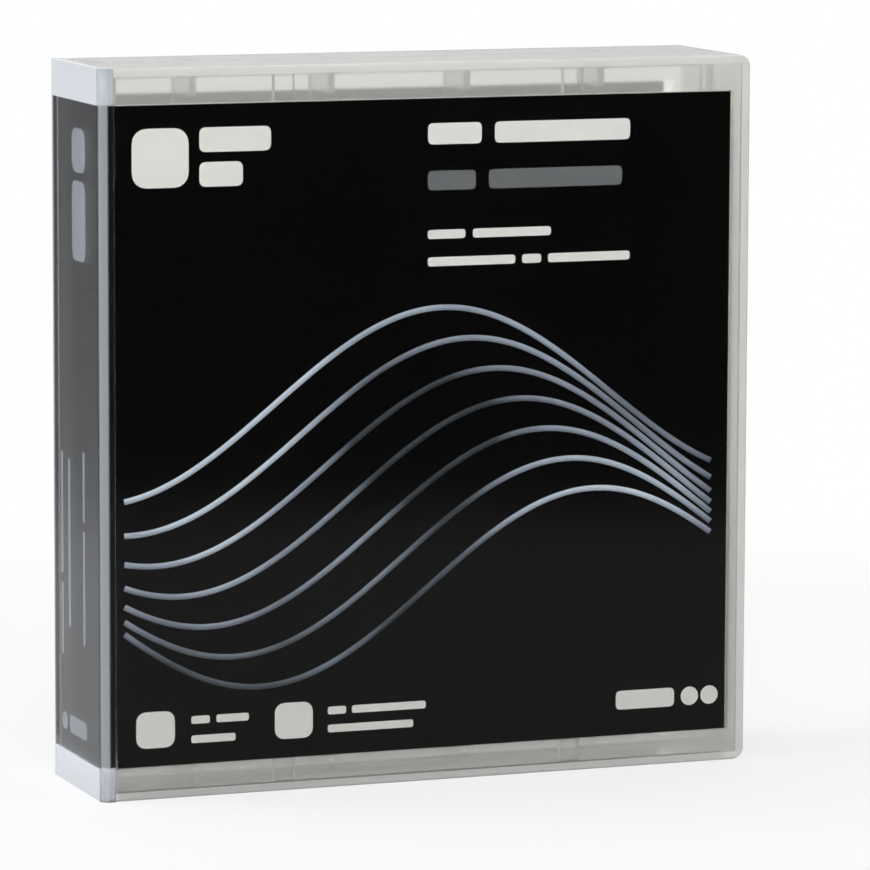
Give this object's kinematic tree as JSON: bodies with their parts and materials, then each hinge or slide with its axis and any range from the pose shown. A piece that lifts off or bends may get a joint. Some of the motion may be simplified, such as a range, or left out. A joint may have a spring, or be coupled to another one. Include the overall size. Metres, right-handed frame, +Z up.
{
  "type": "data tape cartridge in its storage case",
  "caption": "Hinged translucent storage case standing upright, with a folded black card inside its walls and a tape cartridge behind it.",
  "frame": {"origin": "middle of the closed case's foot, on the surface that it stands on", "axes": "+X to the opening side, away from the spine; +Y from the cover to the back; +Z up"},
  "size_m": [0.1134, 0.0274, 0.119],
  "materials": {
    "clear_case": "translucent moulded polypropylene, faintly frosted",
    "printed_card": "coated card, printed black",
    "shell_plastic": "fine moulded texture",
    "screw_steel": "blackened steel",
    "label_paper": "plain matt label",
    "switch_plastic": "moulded red plastic",
    "chip_board": "resin board",
    "reel_plastic": "moulded grey plastic",
    "tape_film": "wound polyester film",
    "bright_steel": "plated and turned",
    "brake_plastic": "natural acetal",
    "spring_steel": "drawn spring wire"
  },
  "bodies": {
    "case_back": {"case_back": "clear_case", "card_back": "printed_card", "upper_shell": "shell_plastic", "lower_shell": "shell_plastic", "shell_screws": "screw_steel", "edge_label": "label_paper", "memory_chip": "chip_board", "leader_pin": "bright_steel", "leader_clip": "brake_plastic", "leader_tape": "tape_film", "pin_springs": "spring_steel", "brake_spring": "spring_steel", "door_spring": "spring_steel"},
    "spine": {"case_spine": "clear_case", "card_spine": "printed_card"},
    "cover": {"case_cover": "clear_case", "card_front": "printed_card"},
    "reel": {"reel_hub": "reel_plastic", "reel_upper_flange": "reel_plastic", "tape_pack": "tape_film", "drive_washer": "bright_steel"},
    "brake": {"brake_button": "brake_plastic"},
    "release": {"release_plate": "brake_plastic"},
    "door": {"door": "shell_plastic"},
    "write_protect": {"write_protect_switch": "switch_plastic"}
  },
  "joints": [
    {"name": "spine_hinge", "type": "hinge", "parent": "case_back", "child": "spine", "pos_m": [-0.0552, 0.01215, 0.0595], "axis": [0, 0, -1], "range_deg": [0, 90]},
    {"name": "cover_hinge", "type": "hinge", "parent": "spine", "child": "cover", "pos_m": [-0.0552, -0.01215, 0.0595], "axis": [0, 0, -1], "range_deg": [0, 90]},
    {"name": "reel_spin", "type": "hinge", "parent": "case_back", "child": "reel", "pos_m": [0, 0.00075, 0.0582], "axis": [0, 1, 0], "continuous": true},
    {"name": "brake_lower", "type": "slide", "parent": "case_back", "child": "brake", "axis": [0, 1, 0], "range_m": [0, 0.0014], "stiffness_N_per_m": 150, "springref_m": 0.012, "deforming": ["brake_spring"]},
    {"name": "release_lower", "type": "slide", "parent": "reel", "child": "release", "axis": [0, 1, 0], "range_m": [0, 0.0014]},
    {"name": "door_slide", "type": "slide", "parent": "case_back", "child": "door", "axis": [0, 0, 1], "range_m": [0, 0.0149], "stiffness_N_per_m": 30, "springref_m": -0.01, "deforming": ["door_spring"]},
    {"name": "write_protect_slide", "type": "slide", "parent": "case_back", "child": "write_protect", "axis": [-1, 0, 0], "range_m": [0, 0.004]}
  ],
  "couplings": [
    {"joint": "release_lower", "follows": "brake_lower", "ratio": 1}
  ]
}
